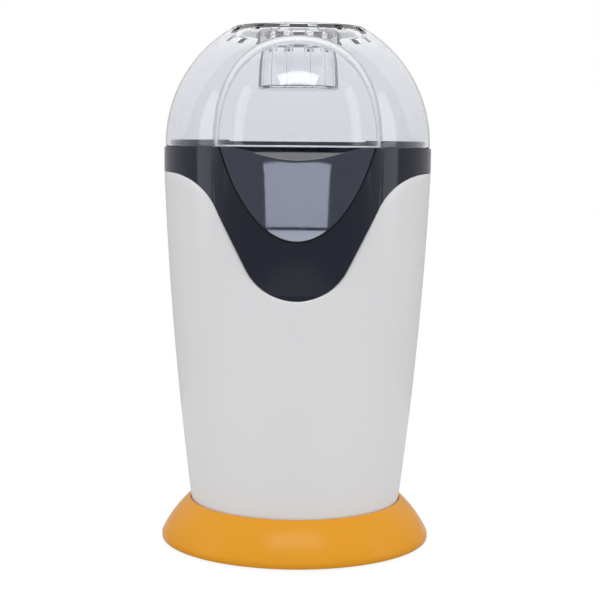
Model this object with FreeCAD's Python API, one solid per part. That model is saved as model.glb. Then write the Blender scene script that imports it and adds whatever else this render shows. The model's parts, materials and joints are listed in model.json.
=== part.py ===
# Hot-air popcorn maker: a flared base, a tapered housing, a collar with an outlet spout and a clear dome
# with its hood and a measuring cup, over a motor, fan, heater and popping chamber.
# Millimetres. +Z is up, the origin is the middle of the standing face, and the front faces -Y.
import FreeCAD
import Part
import math
import os

Vector = FreeCAD.Vector
up = Vector(0, 0, 1)
down = Vector(0, 0, -1)

# Housing and base
rim_z = 236.0               # seat of the dome on the collar
body_r = 79.3               # collar band, and the housing's upper edge
housing_taper = 16.7        # how much narrower the housing's foot is
housing_foot_r = body_r - housing_taper
housing_bow = 2.2           # swell of the housing's side past a straight taper
housing_wall = 2.5
band_height = 14.5          # collar band above the housing's edge
wave_drop = 70.3            # dip of the housing's edge at the front
wave_bottom_r = 31.9        # arc at the bottom of the dip
wave_shoulder_r = 34.1      # arcs where the dip leaves the level edge
wave_margin = 2.8
wave_half_width = body_r - wave_margin  # from the middle to where the edge runs level
base_overhang = 1.4         # base's widest part past the body
base_r = body_r + base_overhang
base_gap = 1.2              # air under the base's outer edge
base_edge = 2.5             # upright edge below the flare
base_height = 25.2
base_bow = 1.6              # swell of the flare past a straight cone
base_wall = 2.2
base_lip = 1.4              # width of the base's top edge round the housing
seat_depth = 3.0            # how deep the housing stands in the base
shelf_width = 5.0           # ledge that carries the housing
plate_z = 4.0               # underside of the base plate
plate_thickness = 2.5
foot_ring_width = 2.7
foot_groove = 1.0
intake_slots = 24
intake_inner_r = 24.0
intake_margin = 8.0         # from the slots' outer ends to the motor posts
intake_width = 3.0

# Collar, spout and outlet slide
collar_wall = 2.5
ring_margin = 3.6           # seat outside the locating ring
ring_outer_r = body_r - ring_margin
ring_width = 2.2
ring_height = 4.0
mouth_margin = 2.0          # funnel's mouth past the popping chamber
mouth_drop = 8.0            # mouth below the rim
neck_height = 7.0
spout_margin = 1.0          # spout's sides past the mouth
spout_swell = 12.7          # spout's front past the body at the rim
spout_front = body_r + spout_swell
slide_fall = 62.0           # degrees of the outlet slide below level
slide_trough_r = 72.0       # hollow of the outlet across
lip_rise = 1.0              # outlet lip above the mouth
lip_run = 11.0              # outlet lip in front of the mouth
plug_depth = 2.5            # collar's stretch inside the housing
plug_wall = 2.0
plug_front = 18.0           # how far the plug reaches in front of the middle

# Dome, hood and cup
dome_inset = 0.8            # dome inside the collar's edge
dome_r = body_r - dome_inset
dome_foot = 2.0             # upright foot below the dome's ball
dome_wall = 2.2
crown_r = 38.0              # flat crown
crown_recess = 2.0          # seat of the cup's flange in the crown
vent_count = 16
vent_width = 5.8
vent_margin = 0.8
vent_inner_r = crown_r + vent_margin
vent_length = 5.6
hood_margin = 1.0           # spout's sides past the hood
hood_drop = 13.5            # hood's top below that of the dome's ball
hood_height = dome_r - hood_drop
hood_setback = 12.5
hood_offset = dome_r - hood_setback  # centre of the hood's round front
crown_edge = 4.0            # crown outside the cup's flange
cup_flange_r = crown_r - crown_edge
cup_flange = 10.0
cup_r = cup_flange_r - cup_flange
cup_depth = 34.0
cup_wall = 1.8
cup_ribs = 12
cup_rib_width = 4.0
cup_rib_depth = 0.8

# Popping chamber and heater
sleeve_margin = 21.1        # heater sleeve inside the body
sleeve_r = body_r - sleeve_margin
chamber_room = 13.2         # air way between the chamber and the sleeve
chamber_r = sleeve_r - chamber_room
sheet = 1.0                 # chamber and sleeve sheet
chamber_cone = 8.0          # rise of the chamber's floor in the middle
chamber_corner = 7.0
chamber_flange = 12.0
louvre_count = 20
louvre_width = 1.6
louvre_height = 14.0
louvre_tilt = 35.0
insulator_thickness = 5.0
board_height = 26.0
board_thickness = 0.8
chamber_gap = 6.0           # air between the heater boards and the chamber
coil_room = 18.2
coil_r = sleeve_r - coil_room
coil_turns = 3
coil_pitch = 5.5
coil_wire_r = 1.5
coil_start_angle = 45.0
thermostat_r = 8.0
thermostat_height = 6.5
thermostat_rise = 24.0      # above the heater boards
fuse_r = 2.0
fuse_length = 12.0
fuse_offset = 20.0

# Fan and motor
fan_floor_z = 70.0
fan_floor = 2.5
fan_wall = 3.9
fan_wall_height = 26.0
fan_inlet_r = 32.0
motor_plate_r = 21.5
spoke_width = 8.0
spoke_count = 3
post_inset = 8.2
post_r = sleeve_r - post_inset
post_radius = 4.5
fan_room = 13.2             # from the fan to the heater sleeve
fan_r = sleeve_r - fan_room
fan_gap = 3.5
fan_height = 12.0
fan_disc = 1.5
fan_hub_r = 6.0
fan_hub_tail = 3.0
fan_blades = 9
fan_blade_inner_r = 20.0
fan_blade_thickness = 1.4
fan_blade_lean = 30.0
motor_r = 17.9
motor_length = 43.0
motor_wall = 1.2
motor_nose_r = 5.0
end_cap_height = 8.0
end_cap_plug = 2.0
shaft_r = 1.585
shaft_foot = 1.5            # shaft's end above the end cap's underside
bush_r = 3.2
bush_length = 6.0
magnet_thickness = 3.6
magnet_angle = 120.0
magnet_gap = 1.5            # magnets above the end cap
rotor_gap = 0.8
rotor_rise = 7.0            # rotor above the magnets' foot, over the commutator
rotor_slots = 5
rotor_slot_width = 2.0
rectifier_width = 26.0
rectifier_thickness = 1.6
diode_r = 1.5
diode_length = 5.0
diode_step = 6.0

# Switch and cord gland on the rear
switch_rise = 33.8          # over the base's top edge
switch_z = base_height + switch_rise
switch_width = 15.0
switch_height = 21.0
switch_bezel = 2.0
switch_depth = 15.0
rocker_width = 9.2
rocker_height = 14.8
rocker_rise = 4.2           # rocker's ends over its pivot
rocker_dip = 1.3            # middle of the rocker's face below its ends
rocker_tail = 1.5
rocker_swing = 10.0         # degrees to each side of the middle
trunnion_r = 1.2
trunnion_length = 1.1
tab_width = 4.8
tab_thickness = 0.8
tab_length = 7.0
tab_offset = 5.5
pad_rise = 0.8              # flat pads for the switch and the gland over the housing
pad_margin = 3.0
pad_depth = 4.0
gland_rise = 9.8
gland_z = base_height + gland_rise
gland_bore_r = 3.4
gland_neck_r = 4.9
gland_flange_r = 6.5
gland_flange = 2.0

# Screws
screw_head_r = 2.8
screw_head = 1.8
screw_r = 1.45
screw_boss_r = 4.0
screw_bite = 7.0            # thread in the boss
base_screw_inset = 14.7     # circles that the screws stand on
base_screw_r = base_r - base_screw_inset
collar_screw_inset = 9.3
collar_screw_r = body_r - collar_screw_inset
collar_boss_height = 14.0
chamber_screw_out = 8.0
chamber_screw_r = chamber_r + chamber_screw_out
motor_screw_r = 11.0

# Clearances
seam_gap = 0.3              # between the housing and the collar
seat_gap = 0.3              # between a piece and the seat that it drops into
screw_gap = 0.1
running_gap = 0.05          # round a shaft or pivot
press_gap = 0.01            # round a piece pressed on or in
rocker_gap = 0.4            # round the rocker over its swing
reach = 400.0               # longer than the object, for cutting tools

# Levels and widths that follow from the sizes above
mouth_r = chamber_r + mouth_margin
spout_half_width = mouth_r + spout_margin
hood_half_width = spout_half_width - hood_margin
intake_outer_r = post_r - intake_margin
seam_z = rim_z - band_height
foot_z = base_height - seat_depth
wave_z = seam_z - wave_drop
plate_top = plate_z + plate_thickness
mouth_z = rim_z - mouth_drop
neck_z = mouth_z - neck_height
ring_top = rim_z + ring_height
ring_inner_r = ring_outer_r - ring_width
ball_z = rim_z + dome_foot
crown_z = ball_z + math.sqrt(dome_r ** 2 - crown_r ** 2)
fan_top = fan_floor_z + fan_floor
duct_top = fan_floor_z + fan_wall_height
board_top = duct_top + board_height
chamber_floor = board_top + chamber_gap
insulator_top = neck_z - sheet
insulator_z = insulator_top - insulator_thickness
collar_boss_z = seam_z - plug_depth - seat_gap
motor_z = fan_floor_z - motor_length
end_cap_z = motor_z - end_cap_height
lip_y = mouth_r + lip_run
lip_z = mouth_z + lip_rise


# Radius of the housing's outside at a height
def housing_radius(z):
    share = 2 * (z - foot_z) / (seam_z - foot_z) - 1
    taper = housing_foot_r + (body_r - housing_foot_r) * (share + 1) / 2
    return taper + housing_bow * (1 - share ** 2)


seat_bore_r = housing_radius(base_height) + seat_gap
base_top_r = seat_bore_r + base_lip
flare_z = base_gap + base_edge
flare_wall = base_wall * math.hypot(1, (base_r - base_top_r) / (base_height - flare_z))


# Radius of the base's flare at a height
def flare_radius(z):
    share = 2 * (z - flare_z) / (base_height - flare_z) - 1
    cone = base_r + (base_top_r - base_r) * (share + 1) / 2
    return cone + base_bow * (1 - share ** 2)


# Closed face through an outline: a point is a straight run, a pair of points is an arc by way of the first
def closed_face(outline, place):
    edges = []
    first = place(*outline[0])
    here = first
    for step in outline[1:]:
        if isinstance(step[0], tuple):
            there = place(*step[1])
            edges.append(Part.Arc(here, place(*step[0]), there).toShape())
        else:
            there = place(*step)
            edges.append(Part.makeLine(here, there))
        here = there
    edges.append(Part.makeLine(here, first))
    return Part.Face(Part.Wire(edges))


# Solid turned from an outline of (radius, height) about an upright axis
def turned(outline, axis_y=0.0, angle=360.0):
    face = closed_face(outline, lambda r, z: Vector(r, axis_y, z))
    return face.revolve(Vector(0, axis_y, 0), up, angle)


# Solid with an outline of (x, z), drawn out along Y
def drawn_along_y(outline, start_y, end_y):
    face = closed_face(outline, lambda x, z: Vector(x, start_y, z))
    return face.extrude(Vector(0, end_y - start_y, 0))


# Solid with an outline of (y, z), drawn out evenly to both sides along X
def drawn_along_x(outline, half_width):
    face = closed_face(outline, lambda y, z: Vector(-half_width, y, z))
    return face.extrude(Vector(2 * half_width, 0, 0))


def tube(inner_r, outer_r, start_z, end_z):
    return turned([(inner_r, start_z), (outer_r, start_z), (outer_r, end_z), (inner_r, end_z)])


def pin(radius, start, way, length):
    return Part.makeCylinder(radius, length, start, way)


def box_between(low, high):
    size = high - low
    return Part.makeBox(size.x, size.y, size.z, low)


def polar(radius, angle, z):
    turn = math.radians(angle)
    return Vector(radius * math.cos(turn), radius * math.sin(turn), z)


# Copies of a shape turned about the upright axis
def spun(shape, angles):
    copies = []
    for angle in angles:
        copy = shape.copy()
        copy.rotate(Vector(0, 0, 0), up, angle)
        copies.append(copy)
    return copies


def even_angles(count, first=0.0):
    return [first + 360.0 * i / count for i in range(count)]


base_screw_angles = even_angles(4)
post_angles = even_angles(4, 45.0)
collar_screw_angles = [20.0, 90.0, 160.0]
chamber_screw_angles = even_angles(3, 90.0)
motor_screw_angles = [0.0, 180.0]


def screw(seat, way, grip):
    head = pin(screw_head_r, seat - way * screw_head, way, screw_head)
    shank = pin(screw_r, seat, way, grip + screw_bite - screw_gap)
    return head.fuse(shank)


def screw_set(radius, angles, z, way, grip):
    return Part.makeCompound([screw(polar(radius, angle, z), way, grip) for angle in angles])


# Holes for a set of screws, from a seat and along the same way
def screw_holes(radius, angles, z, way, length):
    return [pin(screw_r + screw_gap, polar(radius, angle, z), way, length) for angle in angles]


# Everything inside the housing's outside, drawn in by an inset
def body_solid(inset, top):
    middle_z = (foot_z + seam_z) / 2
    return turned([
        (0, foot_z),
        (housing_foot_r - inset, foot_z),
        ((housing_radius(middle_z) - inset, middle_z), (body_r - inset, seam_z)),
        (body_r - inset, top),
        (0, top),
    ])


# Level outline of the spout at a height: straight sides inside the body and a round front
def spout_outline(inset, body, front, z):
    half = spout_half_width - inset
    side = math.sqrt((body - seam_gap) ** 2 - spout_half_width ** 2) - inset
    return closed_face([
        (half, 0),
        (half, -side),
        ((0, inset - front), (-half, -side)),
        (-half, 0),
    ], lambda x, y: Vector(x, y, z)).OuterWire


# The spout's swell, which runs out into the body at the foot of the wave
def spout_solid(inset, top):
    foot_body = housing_radius(wave_z)
    foot = spout_outline(inset, foot_body, foot_body - seam_gap, wave_z)
    head = spout_outline(inset, body_r, spout_front, rim_z)
    swell = Part.makeLoft([foot, head], True, True)
    return swell.cut(box_between(Vector(-reach, -reach, top), Vector(reach, reach, reach)))


# Outline above the housing's edge: level at the sides, and a dip of three arcs and two straights between
def above_edge_outline(raise_by):
    bottom_r = wave_bottom_r - raise_by
    shoulder_r = wave_shoulder_r + raise_by
    bottom_z = wave_z + wave_bottom_r
    shoulder_z = seam_z - wave_shoulder_r
    spread = math.hypot(wave_half_width, shoulder_z - bottom_z)
    slope = math.atan2(shoulder_z - bottom_z, wave_half_width)
    slope += math.asin((wave_bottom_r + wave_shoulder_r) / spread)

    def on_bottom(turn):
        return (bottom_r * math.sin(turn), bottom_z - bottom_r * math.cos(turn))

    def on_shoulder(turn):
        out = shoulder_r * math.sin(turn)
        return (wave_half_width - out, shoulder_z + shoulder_r * math.cos(turn))

    def mirrored(point):
        return (-point[0], point[1])

    level = seam_z + raise_by
    return [
        (-reach, level),
        mirrored(on_shoulder(0)),
        (mirrored(on_shoulder(slope / 2)), mirrored(on_shoulder(slope))),
        on_bottom(-slope),
        (on_bottom(0), on_bottom(slope)),
        on_shoulder(slope),
        (on_shoulder(slope / 2), on_shoulder(0)),
        (reach, level),
        (reach, reach),
        (-reach, reach),
    ]


# The space above the housing's edge, as a front and a rear tool
def above_edge(raise_by):
    front = drawn_along_y(above_edge_outline(raise_by), -reach, 0)
    rear = box_between(Vector(-reach, 0, seam_z + raise_by), Vector(reach, reach, reach))
    return front.fuse(rear)


# Frame of a fitting on the rear wall: local Y points out of the wall, local Z runs up it
def rear_place(z):
    share = 2 * (z - foot_z) / (seam_z - foot_z) - 1
    widening = body_r - housing_foot_r - 4 * housing_bow * share
    slope = math.degrees(math.atan(widening / (seam_z - foot_z)))
    turn = FreeCAD.Rotation(Vector(1, 0, 0), -slope)
    return FreeCAD.Placement(Vector(0, housing_radius(z), z), turn)


def placed(shape, place):
    copy = shape.copy()
    copy.Placement = place.multiply(copy.Placement)
    return copy


# Box in a fitting's own frame, even about its middle line
def even_box(width, inner_y, outer_y, height):
    low = Vector(-width / 2, inner_y, -height / 2)
    return box_between(low, Vector(width / 2, outer_y, height / 2))


# Round bar or hole in a fitting's own frame, along its Y
def even_pin(radius, inner_y, outer_y):
    return pin(radius, Vector(0, inner_y, 0), Vector(0, 1, 0), outer_y - inner_y)


def base_ring():
    shelf_z = foot_z - base_wall
    inset = flare_wall
    flare_mid = (flare_z + base_height) / 2
    inner_mid = (flare_z + shelf_z) / 2
    shell = turned([
        (base_r - inset, base_gap),
        (base_r, base_gap),
        (base_r, flare_z),
        ((flare_radius(flare_mid), flare_mid), (base_top_r, base_height)),
        (seat_bore_r, base_height),
        (seat_bore_r, foot_z),
        (seat_bore_r - shelf_width, foot_z),
        (seat_bore_r - shelf_width, shelf_z),
        (flare_radius(shelf_z) - inset, shelf_z),
        ((flare_radius(inner_mid) - inset, inner_mid), (base_r - inset, flare_z)),
    ])
    outside = turned([
        (0, base_gap),
        (base_r - inset / 2, base_gap),
        (base_r - inset / 2, flare_z),
        ((flare_radius(flare_mid) - inset / 2, flare_mid), (base_top_r - inset / 2, base_height)),
        (0, base_height),
    ])
    boss = pin(screw_boss_r, polar(base_screw_r, 0, plate_top), up, foot_z - plate_top).common(outside)
    ring = shell.fuse(spun(boss, base_screw_angles))
    return ring.cut(screw_holes(base_screw_r, base_screw_angles, plate_top, up, screw_bite))


plate_r = flare_radius(plate_top) - flare_wall - seat_gap
foot_outer_r = plate_r - seat_gap
foot_inner_r = foot_outer_r - foot_ring_width


def base_plate():
    plate = tube(0, plate_r, plate_z, plate_top)
    groove = tube(foot_inner_r, foot_outer_r, plate_z, plate_z + foot_groove)
    slot = box_between(
        Vector(intake_inner_r, -intake_width / 2, plate_z),
        Vector(intake_outer_r, intake_width / 2, plate_top),
    )
    holes = screw_holes(base_screw_r, base_screw_angles, plate_z, up, plate_thickness)
    holes += screw_holes(post_r, post_angles, plate_z, up, plate_thickness)
    return plate.cut([groove] + spun(slot, even_angles(intake_slots)) + holes)


def foot_ring():
    return tube(foot_inner_r, foot_outer_r, 0, plate_z + foot_groove)


# Boss in the housing for one of the collar's screws, joined to the wall
def collar_boss(angle):
    foot = collar_boss_z - collar_boss_height
    face = closed_face([
        (body_r, screw_boss_r),
        (collar_screw_r, screw_boss_r),
        ((collar_screw_r - screw_boss_r, 0), (collar_screw_r, -screw_boss_r)),
        (body_r, -screw_boss_r),
    ], lambda x, y: Vector(x, y, foot))
    boss = face.extrude(Vector(0, 0, collar_boss_height))
    boss = boss.cut(pin(screw_r + screw_gap, Vector(collar_screw_r, 0, foot), up, collar_boss_height))
    return spun(boss, [angle])[0].common(housing_solid(housing_wall / 2))


# The housing's outside carried on past its edge, drawn in by an inset
def housing_solid(inset):
    middle_z = (foot_z + seam_z) / 2
    return turned([
        (0, foot_z),
        (housing_foot_r - inset, foot_z),
        ((housing_radius(middle_z) - inset, middle_z), (housing_radius(rim_z) - inset, rim_z)),
        (0, rim_z),
    ])


def main_housing():
    shell = housing_solid(0).cut(housing_solid(housing_wall))
    shell = shell.cut(above_edge(0))
    switch_place = rear_place(switch_z)
    gland_place = rear_place(gland_z)
    pad_width = switch_width + 2 * pad_margin
    switch_pad = even_box(pad_width, -pad_depth, pad_rise, switch_height + 2 * pad_margin)
    gland_pad = even_pin(gland_flange_r + pad_margin / 2, -pad_depth, pad_rise)
    pads = [placed(switch_pad, switch_place), placed(gland_pad, gland_place)]
    bosses = [collar_boss(angle) for angle in collar_screw_angles]
    opening_width = switch_body_width + 2 * screw_gap
    opening = even_box(opening_width, -2 * pad_depth, 2 * pad_depth, switch_body_height + 2 * screw_gap)
    gland_hole = even_pin(gland_neck_r + screw_gap, -2 * pad_depth, 2 * pad_depth)
    holes = [placed(opening, switch_place), placed(gland_hole, gland_place)]
    return shell.fuse(bosses + pads).cut(holes)


# Height of the funnel's upper face at a radius
def deck_z(radius):
    share = (radius - mouth_r) / (ring_inner_r - mouth_r)
    return mouth_z + share * (rim_z - mouth_z)


# The outlet's space: a round bar level with the lip and another down the fall of the slide
def outlet_space(grow):
    fall = math.radians(slide_fall)
    way = Vector(0, -math.cos(fall), -math.sin(fall))
    lift = Vector(0, -math.sin(fall), math.cos(fall))
    lip = Vector(0, -lip_y, lip_z)
    radius = slide_trough_r + grow
    slide = pin(radius, lip + lift * slide_trough_r - way * reach, way, 2 * reach)
    floor = pin(radius, Vector(0, 0, lip_z + slide_trough_r), Vector(0, -1, 0), lip_y + lip_run)
    return slide.fuse(floor)


def collar():
    outside = body_solid(0, rim_z).fuse(spout_solid(0, rim_z))
    deck = rim_z - collar_wall
    inside = body_solid(collar_wall, deck).fuse(spout_solid(collar_wall, deck))
    shell = outside.cut(inside).common(above_edge(seam_gap))
    shell = shell.cut(tube(0, ring_inner_r, mouth_z, ring_top))
    funnel = turned([
        (ring_outer_r, deck),
        (ring_outer_r, ring_top),
        (ring_inner_r, ring_top),
        (ring_inner_r, rim_z),
        (mouth_r, mouth_z),
        (mouth_r, neck_z),
        (mouth_r + collar_wall, neck_z),
        (mouth_r + collar_wall, mouth_z - collar_wall),
        (ring_inner_r, deck),
    ])
    plug_r = housing_radius(collar_boss_z) - housing_wall - seat_gap
    plug = turned([
        (plug_r - plug_wall, seam_z - plug_depth),
        (plug_r, seam_z - plug_depth),
        (plug_r, seam_z + seam_gap),
        (body_r - collar_wall / 2, seam_z + seam_gap),
        (body_r - collar_wall / 2, seam_z + seam_gap + plug_wall),
        (plug_r - plug_wall, seam_z + seam_gap + plug_wall),
    ]).cut(box_between(Vector(-reach, -reach, 0), Vector(reach, -plug_front, reach)))
    bosses = []
    for angle in collar_screw_angles:
        start = polar(collar_screw_r, angle, collar_boss_z)
        bosses.append(pin(screw_boss_r, start, up, deck_z(collar_screw_r) - collar_wall / 2 - collar_boss_z))
    for angle in chamber_screw_angles:
        start = polar(chamber_screw_r, angle, neck_z)
        bosses.append(pin(screw_boss_r, start, up, deck_z(chamber_screw_r) - collar_wall / 2 - neck_z))
    body = shell.fuse([funnel, plug] + bosses).cut(outlet_space(0))
    slide = outlet_space(collar_wall).cut(outlet_space(0))
    slide = slide.common(outside).cut(tube(0, mouth_r, foot_z, rim_z))
    holes = screw_holes(collar_screw_r, collar_screw_angles, collar_boss_z, up, screw_bite)
    holes += screw_holes(chamber_screw_r, chamber_screw_angles, neck_z, up, screw_bite - collar_wall)
    return body.fuse(slide).cut(holes)


# Upright oval about a point of the rim's plane, at one place along Y
def standing_oval(half_width, height, y):
    centre = Vector(0, y, rim_z)
    return Part.Ellipse(Vector(0, y, rim_z + height), Vector(half_width, y, rim_z), centre)


# The hood's outside or inside: an oval tunnel and a round front
def hood_solid(inset):
    half = hood_half_width - inset
    height = hood_height - inset
    oval = standing_oval(half, height, 0)
    arch = Part.ArcOfEllipse(oval, -math.pi / 2, math.pi / 2).toShape()
    sill = Part.makeLine(Vector(half, 0, rim_z), Vector(-half, 0, rim_z))
    tunnel = Part.Face(Part.Wire([arch, sill])).extrude(Vector(0, -hood_offset, 0))
    front_oval = standing_oval(half, height, -hood_offset)
    quarter = Part.ArcOfEllipse(front_oval, -math.pi / 2, 0).toShape()
    centre = Vector(0, -hood_offset, rim_z)
    mast = Part.makeLine(Vector(0, -hood_offset, rim_z + height), centre)
    floor = Part.makeLine(centre, Vector(-half, -hood_offset, rim_z))
    nose = Part.Face(Part.Wire([quarter, mast, floor])).revolve(centre, up, 180)
    return tunnel.fuse(nose)


# Upper part of a ball on an upright foot, cut level at a height
def ball_cap(radius, top_z):
    climb = math.asin((top_z - ball_z) / radius)
    halfway = (radius * math.cos(climb / 2), ball_z + radius * math.sin(climb / 2))
    return turned([
        (0, rim_z),
        (radius, rim_z),
        (radius, ball_z),
        (halfway, (radius * math.cos(climb), top_z)),
        (0, top_z),
    ])


def dome_cover():
    crown_under = crown_z - crown_recess - dome_wall
    outside = ball_cap(dome_r, crown_z).fuse(hood_solid(0))
    inside = ball_cap(dome_r - dome_wall, crown_under).fuse(hood_solid(dome_wall))
    shell = outside.cut(inside)
    recess = tube(0, cup_flange_r + seat_gap, crown_z - crown_recess, crown_z)
    hole = tube(0, cup_r + cup_rib_depth + seat_gap, crown_under, crown_z)
    vent = box_between(
        Vector(vent_inner_r, -vent_width / 2, crown_under - 2 * dome_wall),
        Vector(vent_inner_r + vent_length, vent_width / 2, crown_z),
    )
    return shell.cut([recess, hole] + spun(vent, even_angles(vent_count, 180.0 / vent_count)))


def measuring_cup():
    seat_z = crown_z - crown_recess
    floor_z = seat_z - cup_depth
    cup = turned([
        (0, floor_z),
        (cup_r, floor_z),
        (cup_r, seat_z),
        (cup_flange_r, seat_z),
        (cup_flange_r, crown_z),
        (cup_r - cup_wall, crown_z),
        (cup_r - cup_wall, floor_z + cup_wall),
        (0, floor_z + cup_wall),
    ])
    rib = box_between(
        Vector(cup_r - cup_wall / 2, -cup_rib_width / 2, floor_z),
        Vector(cup_r + cup_rib_depth, cup_rib_width / 2, seat_z),
    ).common(tube(0, cup_r + cup_rib_depth, floor_z, seat_z))
    return cup.fuse(spun(rib, even_angles(cup_ribs, 180.0 / cup_ribs)))


def popping_chamber():
    pan = turned([
        (0, chamber_floor + chamber_cone),
        (chamber_r - chamber_corner, chamber_floor + sheet),
        (chamber_r, chamber_floor + chamber_corner),
        (chamber_r, neck_z),
        (chamber_r + chamber_flange, neck_z),
        (chamber_r + chamber_flange, neck_z - sheet),
        (chamber_r + sheet, neck_z - sheet),
        (chamber_r + sheet, chamber_floor + chamber_corner),
        (chamber_r - chamber_corner, chamber_floor),
        (0, chamber_floor + chamber_cone - sheet),
    ])
    louvre = box_between(
        Vector(-sheet, -louvre_width / 2, -louvre_height / 2),
        Vector(2 * sheet, louvre_width / 2, louvre_height / 2),
    )
    louvre.rotate(Vector(0, 0, 0), Vector(1, 0, 0), louvre_tilt)
    louvre.translate(Vector(chamber_r, 0, chamber_floor + chamber_corner + louvre_height / 2))
    holes = screw_holes(chamber_screw_r, chamber_screw_angles, insulator_top, up, sheet)
    return pan.cut(spun(louvre, even_angles(louvre_count)) + holes)


def insulating_ring():
    ring = tube(chamber_r + sheet + seat_gap, sleeve_r + sheet + seat_gap, insulator_z, insulator_top)
    holes = screw_holes(chamber_screw_r, chamber_screw_angles, insulator_z, up, insulator_thickness)
    return ring.cut(holes)


def heater_sleeve():
    return tube(sleeve_r, sleeve_r + sheet, duct_top, insulator_z)


coil_z = duct_top + (board_height - coil_turns * coil_pitch) / 2


# Height of the coil where it passes an angle for the nth time
def coil_height(angle, turn):
    return coil_z + coil_pitch * ((angle - coil_start_angle) / 360.0 + turn)


# Point and direction of the coil's centre line after a number of quarter turns
def coil_station(quarter):
    angle = math.radians(coil_start_angle + 90.0 * quarter)
    point = Vector(coil_r * math.cos(angle), coil_r * math.sin(angle), coil_z + coil_pitch * quarter / 4)
    rise = coil_pitch / (2 * math.pi)
    way = Vector(-coil_r * math.sin(angle), coil_r * math.cos(angle), rise)
    return point, way.normalize()


# Arc from a point along a direction to an end, given the corner where its end tangents meet
def tangent_arc(start, corner, end):
    chord_middle = (start + end) * 0.5
    half_turn = (corner - start).getAngle(end - start)
    share = math.tan(half_turn / 2) / math.tan(half_turn)
    return Part.Arc(start, chord_middle + (corner - chord_middle) * share, end).toShape()


# Two arcs that join smoothly and keep the direction at both ends
def joined_arcs(start, start_way, end, end_way):
    span = end - start
    both = start_way + end_way
    spread = 2 * (1 - start_way.dot(end_way))
    along = span.dot(both)
    arm = (math.sqrt(along ** 2 + spread * span.dot(span)) - along) / spread
    first_corner = start + start_way * arm
    last_corner = end - end_way * arm
    meeting = (first_corner + last_corner) * 0.5
    return [tangent_arc(start, first_corner, meeting), tangent_arc(meeting, last_corner, end)]


def heater_coil():
    edges = []
    for quarter in range(4 * coil_turns):
        edges += joined_arcs(*coil_station(quarter), *coil_station(quarter + 1))
    start, way = coil_station(0)
    section = Part.Wire(Part.makeCircle(coil_wire_r, start, way))
    print("heater coil, gap between turns:", round(coil_pitch - 2 * coil_wire_r, 2))
    return Part.Wire(edges).makePipeShell([section], True, False)


# One heater board, with its half-lap slot from one edge and the coil's holes
def heater_board(slot_from_top, arm_angles):
    half = sleeve_r - seat_gap
    low = Vector(-half, -board_thickness / 2, duct_top)
    board = box_between(low, Vector(half, board_thickness / 2, board_top))
    middle_z = (duct_top + board_top) / 2
    slot_low = middle_z if slot_from_top else duct_top
    slot_high = board_top if slot_from_top else middle_z
    slot_half = board_thickness / 2 + screw_gap
    slot = box_between(Vector(-slot_half, -half, slot_low), Vector(slot_half, half, slot_high))
    board = board.cut(slot)
    board.rotate(Vector(0, 0, 0), up, arm_angles[0])
    holes = []
    for angle in arm_angles:
        first = 0 if angle >= coil_start_angle else 1
        for turn in range(first, first + coil_turns):
            middle = polar(coil_r, angle, coil_height(angle, turn))
            way = polar(1, angle + 90.0, 0)
            start = middle - way * board_thickness
            holes.append(pin(coil_wire_r + seat_gap, start, way, 2 * board_thickness))
    return board.cut(holes)


def thermostat():
    start = Vector(0, sleeve_r, board_top + thermostat_rise)
    button = pin(thermostat_r, start, Vector(0, 1, 0), sheet + thermostat_height)
    return button.cut(tube(0, sleeve_r + sheet + press_gap, duct_top, insulator_z))


def thermal_fuse():
    side = board_thickness / 2 + fuse_r + screw_gap
    start = Vector(fuse_offset - fuse_length / 2, side, board_top - 2 * fuse_r)
    return pin(fuse_r, start, Vector(1, 0, 0), fuse_length)


def fan_housing():
    wall_r = sleeve_r + sheet + seat_gap
    bowl = turned([
        (0, fan_floor_z),
        (wall_r, fan_floor_z),
        (wall_r, duct_top),
        (wall_r - fan_wall, duct_top),
        (wall_r - fan_wall, fan_top),
        (0, fan_top),
    ])
    spoke = box_between(
        Vector(0, -spoke_width / 2, fan_floor_z),
        Vector(fan_inlet_r, spoke_width / 2, fan_top),
    )
    inlet = tube(motor_plate_r, fan_inlet_r, fan_floor_z, fan_top)
    inlet = inlet.cut(spun(spoke, even_angles(spoke_count, 90.0)))
    posts = spun(pin(post_radius, Vector(post_r, 0, plate_top), up, fan_floor_z - plate_top), post_angles)
    holes = screw_holes(post_r, post_angles, plate_top, up, screw_bite)
    holes += screw_holes(motor_screw_r, motor_screw_angles, fan_floor_z, up, fan_floor)
    nose_hole = pin(motor_nose_r + screw_gap, Vector(0, 0, fan_floor_z), up, fan_floor)
    return bowl.cut([inlet, nose_hole]).fuse(posts).cut(holes)


hub_z = fan_top + fan_gap
fan_disc_z = hub_z + fan_height
hub_top = fan_disc_z + fan_disc + fan_hub_tail


def fan_impeller():
    hub = pin(fan_hub_r, Vector(0, 0, hub_z), up, hub_top - hub_z)
    disc = pin(fan_r, Vector(0, 0, fan_disc_z), up, fan_disc)
    blade = box_between(
        Vector(0, -fan_blade_thickness / 2, hub_z),
        Vector(fan_r - fan_blade_inner_r, fan_blade_thickness / 2, fan_disc_z),
    )
    blade.rotate(Vector(0, 0, 0), up, fan_blade_lean)
    blade.translate(Vector(fan_blade_inner_r, 0, 0))
    wheel = disc.fuse([hub] + spun(blade, even_angles(fan_blades)))
    return wheel.cut(pin(shaft_r + press_gap, Vector(0, 0, hub_z), up, hub_top - hub_z))


shaft_z = end_cap_z + shaft_foot


def motor_shaft():
    return pin(shaft_r, Vector(0, 0, shaft_z), up, hub_top - shaft_z)


rear_bush_z = end_cap_z + end_cap_height + end_cap_plug - bush_length
front_bush_z = fan_top - bush_length


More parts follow.
